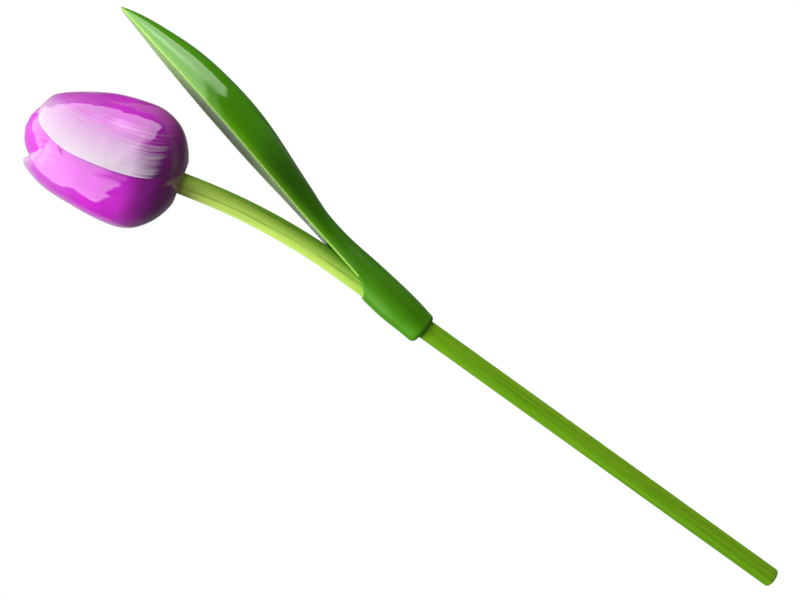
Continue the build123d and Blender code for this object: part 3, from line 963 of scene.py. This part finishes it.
class TULIP_OT_bloom(Operator):
    """Carve the bloom: petals that lap over each other round a closed bud"""

    bl_idname = "tulip.make_bloom"
    bl_label = "Bloom"

    def execute(self, context):
        b = context.scene.tulip_bloom
        round_axis = shared_group("repeated_round_axis", make_round_tree)
        values = {"Count": b.petal_count, "First Angle": b.first_azimuth, "Material": bloom_material()}
        petals = baked_tree(petal_mesh(), "petals", round_axis, values)
        values["First Angle"] -= math.pi / b.petal_count
        bud = baked_tree(bud_lobe_mesh(), "bud", round_axis, values)
        bud.data.transform(Matrix.Translation((-b.bud_shift, 0, 0)))
        work = bmesh.new()
        for part in (petals, bud):
            work.from_mesh(part.data)
        bmesh.ops.dissolve_degenerate(work, dist=2 * SAME_POINT, edges=work.edges)
        bmesh.ops.recalc_face_normals(work, faces=work.faces)
        work.to_mesh(petals.data)
        work.free()
        petals.data.transform(bloom_frame())
        shade(petals.data, sharp_degrees=50)
        petals.name = petals.data.name = "carved_bloom"
        bpy.data.objects.remove(bud)
        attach(petals, "flower_on_stem")
        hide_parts("flower_head")
        return {"FINISHED"}


class TULIP_OT_stem(Operator):
    """Make the stem: a round rod with a gentle bend near its top"""

    bl_idname = "tulip.make_stem"
    bl_label = "Stem"

    def execute(self, context):
        s = context.scene.tulip_stem
        values = {"Material": stem_material()}
        rod = shared_group("rod_along_path", make_rod_tree)
        stem = baked_tree(self.path(s), "painted_stem", rod, values)
        shade(stem.data, sharp_degrees=40)
        store_vectors(stem.data, "along_stem", self.straightened(s, vertex_values(stem.data, "co")))
        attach(stem, "flower_on_stem")
        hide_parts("stem")
        return {"FINISHED"}

    def path(self, s):
        """The stem's middle line with the rod's radius at each point."""
        low, high, rounding = s.lower_diameter / 2, s.upper_diameter / 2, s.end_rounding
        bend_length = s.bend_radius * s.bend_angle
        total = s.bend_start + bend_length + s.neck_length + s.tenon_length - TENON_GAP
        places = [rounding * share for share in END_RINGS]
        places += list(np.arange(STRAIGHT_STEP, s.bend_start, STRAIGHT_STEP))
        places += list(np.arange(s.bend_start, total, BENT_STEP)) + [total]
        curve = bpy.data.curves.new("stem_path", "CURVE")
        curve.dimensions = "3D"
        spline = curve.splines.new("POLY")
        spline.points.add(len(places) - 1)
        for point, along in zip(spline.points, places):
            turned = min(max(along - s.bend_start, 0), bend_length) / s.bend_radius
            beyond = max(along - s.bend_start - bend_length, 0)
            x = -s.bend_radius * (1 - math.cos(turned)) - beyond * math.sin(turned)
            z = min(along, s.bend_start) + s.bend_radius * math.sin(turned) + beyond * math.cos(turned)
            point.co = (x, 0, z, 1)
            widening = min(max((along - s.taper_start) / s.taper_length, 0), 1)
            inside = 1 - min(along / rounding, 1)
            point.radius = low + (high - low) * widening - rounding * (1 - math.sqrt(1 - inside**2))
        return linked("stem_path", curve)

    def straightened(self, s, points):
        """Where the points would be if the stem were straight, so that its paint follows the bend."""
        x, z = points[:, 0] + s.bend_radius, points[:, 2] - s.bend_start
        turned = np.clip(np.arctan2(z, x), 0, s.bend_angle)
        neck = np.maximum(-x * math.sin(s.bend_angle) + z * math.cos(s.bend_angle), 0)
        bent = s.bend_start + s.bend_radius * turned + neck * (turned >= s.bend_angle)
        along = np.where(z < 0, points[:, 2], bent)
        out = np.where(z < 0, points[:, 0], x * np.cos(turned) + z * np.sin(turned) - s.bend_radius)
        return np.stack([out, points[:, 1], along], axis=-1)


class TULIP_OT_leaf(Operator):
    """Carve the leaf: a half-round blade with a hollowed face, on a drilled collar"""

    bl_idname = "tulip.make_leaf"
    bl_label = "Leaf"

    def execute(self, context):
        leaf = context.scene.tulip_leaf
        rough, rims = self.merged_copy(leaf)
        grain = rough.modifiers.new("even_grain", "REMESH")
        grain.mode = "VOXEL"
        grain.voxel_size = leaf.grain
        carved = smoothed(rough, "grained_leaf", SANDING)
        from_rim = np.array([rims.find(vertex.co)[2] for vertex in carved.data.vertices])
        heights = np.array([vertex.co.z for vertex in carved.data.vertices])
        inside = smooth_step(*POLISHED_FROM_RIM, from_rim) * smooth_step(*POLISHED_UP, heights)
        group = carved.vertex_groups.new(name="inside")
        for i in np.flatnonzero(inside > 0):
            group.add([int(i)], float(inside[i]), "REPLACE")
        carved = smoothed(carved, "carved_leaf", POLISHING, group="inside")
        self.finish_surface(leaf, carved.data, from_rim)
        carved.data.materials.append(leaf_material())
        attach(carved, "leaf")
        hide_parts("leaf")
        return {"FINISHED"}

    def merged_copy(self, leaf):
        """A copy of the CAD leaf with its doubles merged and nothing but its shape, and its rims' points."""
        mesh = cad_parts["leaf"].data.copy()
        mesh.materials.clear()
        work = bmesh.new()
        work.from_mesh(mesh)
        bmesh.ops.remove_doubles(work, verts=work.verts, dist=SAME_POINT)
        bmesh.ops.recalc_face_normals(work, faces=work.faces)
        rims = rim_points(work, leaf)
        work.to_mesh(mesh)
        work.free()
        for attribute in [a.name for a in mesh.attributes if not a.is_internal and not a.is_required]:
            mesh.attributes.remove(mesh.attributes[attribute])
        return linked("rough_leaf", mesh), rims

    def finish_surface(self, leaf, mesh, from_rim):
        """Makes the bore round again, and marks where a highlight is painted along the near rim, where a glint
        is painted on the sharp rims, and where the hollow is.
        """
        points = vertex_values(mesh, "co")
        from_axis = np.hypot(points[:, 0], points[:, 1])
        out, up = points[:, 0] - leaf.crotch_offset, points[:, 2] - leaf.crotch_height
        sine, cosine = math.sin(leaf.face_lean), math.cos(leaf.face_lean)
        along, depth = out * sine + up * cosine, out * cosine - up * sine
        bore = (from_axis < leaf.bore_radius + BORE_BAND) & (along < BORE_TOP)
        scale = np.where(bore, leaf.bore_radius / np.maximum(from_axis, SAME_POINT), 1)
        points[:, :2] *= scale[:, None]
        mesh.vertices.foreach_set("co", points.ravel())
        mesh.update()
        backwards = vertex_values(mesh, "normal") @ np.array([cosine, 0, -sine])
        # Painted highlight: a band along the near rim
        rim_highlight = hump(np.maximum(depth, 0), RIM_HIGHLIGHT_DEPTH) * smooth_step(*RIM_HIGHLIGHT_FACING, backwards)
        rim_highlight = rim_highlight * smooth_step(*RIM_HIGHLIGHT_ALONG, along)
        # Painted glint along the sharp rims, and the hollowed face, which takes a painted reflection
        rim_glint, hollow = smooth_step(*RIM_GLINT_REACH, from_rim), smooth_step(*HOLLOW_FACING, -backwards)
        store_vectors(mesh, "leaf_highlight_masks", np.stack([rim_highlight, rim_glint, hollow], axis=-1))


# The studio. Directions: azimuth (0 in front, 90 to the right) and elevation, in degrees. The lacquer mirrors
# a wide soft panel round the front, with brighter spots in it, and the light of the paper behind the object.

PANEL_LEFT, PANEL_RIGHT = radians(-106, -103), radians(93, 90)
MIDDLE_LEFT, MIDDLE_RIGHT = radians(-52, -30), radians(66, 44)
PANEL_EDGE, MIDDLE_RAISED, EDGE_SOFTNESS = -0.125, 0.088, 0.03
PANEL_OVERHEAD = (0.90, 0.94)
PANEL_LEVEL, MIDDLE_DIMMED = 3.3, (0.22, 0.08, 0.0, 2.5)
SPOTS = ((56, 24, 3.2, 150.0), (-84, 32, 3.0, 300.0), (58, 14, 1.2, 60.0), (-78, 54, 2.0, 300.0))
BEHIND, BEHIND_WIDTH, BEHIND_LEVEL = (-170, 4), (42, 14), 0.5
MIRRORED_LEAST = 0.04
DIFFUSE_UP = (-0.2, 0.3, 0.02, 0.20)
LAMPS = {"key_lamp": (-70, 40, 1.22), "fill_lamp": (78, 48, 0.74), "front_lamp": (0, 18, 0.17)}
LAMP_DISTANCE, LAMP_SIZE, LAMP_AIM = 1.5, 1.1, Vector((0, 0, 0.22))
CAMERA_AIM = Vector((0.003366, 0, 0.186745))


def face_along(obj, aim, back, distance):
    """Puts a lamp or camera back from where it aims, and returns the turn that makes it look there."""
    obj.location = aim + back * distance
    obj.rotation_mode = "QUATERNION"
    return (-back).to_track_quat("-Z", "Y")


class TULIP_OT_stage(Operator):
    """Set the pale floor, the soft light and the camera"""

    bl_idname = "tulip.make_stage"
    bl_label = "Stage"

    def execute(self, context):
        stage = context.scene.tulip_stage
        work = bmesh.new()
        bmesh.ops.create_circle(work, cap_ends=True, segments=96, radius=stage.floor_radius)
        mesh = bpy.data.meshes.new("floor")
        work.to_mesh(mesh)
        work.free()
        mesh.materials.append(floor_material())
        floor = linked("floor", mesh)
        self.light(context)
        for name, (azimuth, elevation, level) in LAMPS.items():
            self.lamp(name, direction(*radians(azimuth, elevation)), level)
        self.camera(context, stage)
        context.scene.view_settings.view_transform = "Standard"
        return {"FINISHED"}

    def light(self, context):
        """The world: white to the camera, the studio to what mirrors it, and a faint soft light to the rest."""
        world = bpy.data.worlds.new("studio")
        context.scene.world = world
        world.use_nodes = True
        world.node_tree.nodes.clear()
        n = Nodes(world.node_tree)
        way = n.place("Generated")
        x, y, z = n.parts(way)

        def facing(azimuth, elevation):
            """How closely a ray goes in a direction: 1 straight towards it."""
            towards = direction(*radians(azimuth, elevation))
            return n.add("ShaderNodeVectorMath", {0: way, 1: towards}, operation="DOT_PRODUCT")["Value"]

        side = n.maths("ARCTAN2", x, n.times(y, -1.0))
        middle = n.times(n.mapped(side, *MIDDLE_LEFT), n.mapped(side, *MIDDLE_RIGHT))
        edge = n.plus(n.times(middle, MIDDLE_RAISED), PANEL_EDGE)
        panel = n.times(n.mapped(side, *PANEL_LEFT), n.mapped(side, *PANEL_RIGHT))
        panel = n.times(panel, n.mapped(z, edge, n.plus(edge, EDGE_SOFTNESS)))
        panel = n.larger(panel, n.mapped(z, *PANEL_OVERHEAD))
        level = None
        for azimuth, elevation, strength, narrowness in SPOTS:
            spot = n.maths("POWER", n.larger(facing(azimuth, elevation), 0.0), narrowness)
            spot = n.times(spot, strength)
            level = spot if level is None else n.plus(level, spot)
        level = n.minus(n.plus(level, PANEL_LEVEL), n.times(middle, n.mapped(z, *MIDDLE_DIMMED)))
        bright = n.times(panel, n.larger(level, 0.0))
        behind = n.mapped(facing(*BEHIND), *(math.cos(a) for a in radians(*BEHIND_WIDTH)))
        mirrored = n.plus(bright, n.plus(n.times(behind, BEHIND_LEVEL), MIRRORED_LEAST))
        seen, glossy = n.rays()
        strength = n.either(seen, n.either(glossy, n.mapped(z, *DIFFUSE_UP), mirrored), 1.0)
        white = n.add("ShaderNodeBackground", {"Color": (1, 1, 1, 1), "Strength": strength})[0]
        n.add("ShaderNodeOutputWorld", {"Surface": white})

    def lamp(self, name, back, level):
        """A big round lamp that lights a surface facing it to the given level."""
        data = bpy.data.lights.new(name, "AREA")
        data.shape = "DISK"
        data.size = LAMP_SIZE
        data.energy = level * math.pi**2 * (LAMP_DISTANCE**2 + LAMP_SIZE**2 / 4)
        lamp = linked(name, data)
        lamp.rotation_quaternion = face_along(lamp, LAMP_AIM, back, LAMP_DISTANCE)
        lamp.visible_camera = lamp.visible_glossy = lamp.visible_transmission = False

    def camera(self, context, stage):
        """The photograph's camera, which sees the tulip lying over to the left."""
        data = bpy.data.cameras.new("camera")
        data.lens = stage.lens
        data.sensor_width = 36
        data.clip_start, data.clip_end = 0.01, 50
        camera = linked("camera", data)
        back = direction(stage.camera_azimuth, stage.camera_height)
        upright = face_along(camera, CAMERA_AIM, back, stage.camera_distance)
        camera.rotation_quaternion = upright @ Matrix.Rotation(-stage.camera_roll, 4, "Z").to_quaternion()
        context.scene.camera = camera


class TULIP_PT_panel(Panel):
    """The tulip's settings and the buttons that make its pieces"""

    bl_label = "Wooden tulip"
    bl_idname = "TULIP_PT_panel"
    bl_space_type = "VIEW_3D"
    bl_region_type = "UI"
    bl_category = "Wooden tulip"

    def draw(self, context):
        for operator, settings in zip(OPERATORS, GROUPS):
            group = getattr(context.scene, settings)
            box = self.layout.box()
            for name in group.__annotations__:
                box.prop(group, name)
            box.operator(operator.bl_idname)


OPERATORS = (TULIP_OT_stem, TULIP_OT_bloom, TULIP_OT_leaf, TULIP_OT_stage)
GROUPS = {"tulip_stem": TulipStemSettings, "tulip_bloom": TulipBloomSettings, "tulip_leaf": TulipLeafSettings,
          "tulip_stage": TulipStageSettings}


def register():
    """Registers the classes and puts the settings on the scene."""
    for cls in (*GROUPS.values(), *OPERATORS, TULIP_PT_panel):
        bpy.utils.register_class(cls)
    for name, cls in GROUPS.items():
        setattr(bpy.types.Scene, name, PointerProperty(type=cls))


def unregister():
    """Takes the settings off the scene and removes the classes."""
    for name in GROUPS:
        delattr(bpy.types.Scene, name)
    for cls in (TULIP_PT_panel, *reversed(OPERATORS), *reversed(list(GROUPS.values()))):
        bpy.utils.unregister_class(cls)


def main():
    """Makes every piece in order."""
    register()
    bpy.ops.tulip.make_stem()
    bpy.ops.tulip.make_bloom()
    bpy.ops.tulip.make_leaf()
    bpy.ops.tulip.make_stage()
    bpy.context.view_layer.update()


if __name__ == "__main__":
    main()
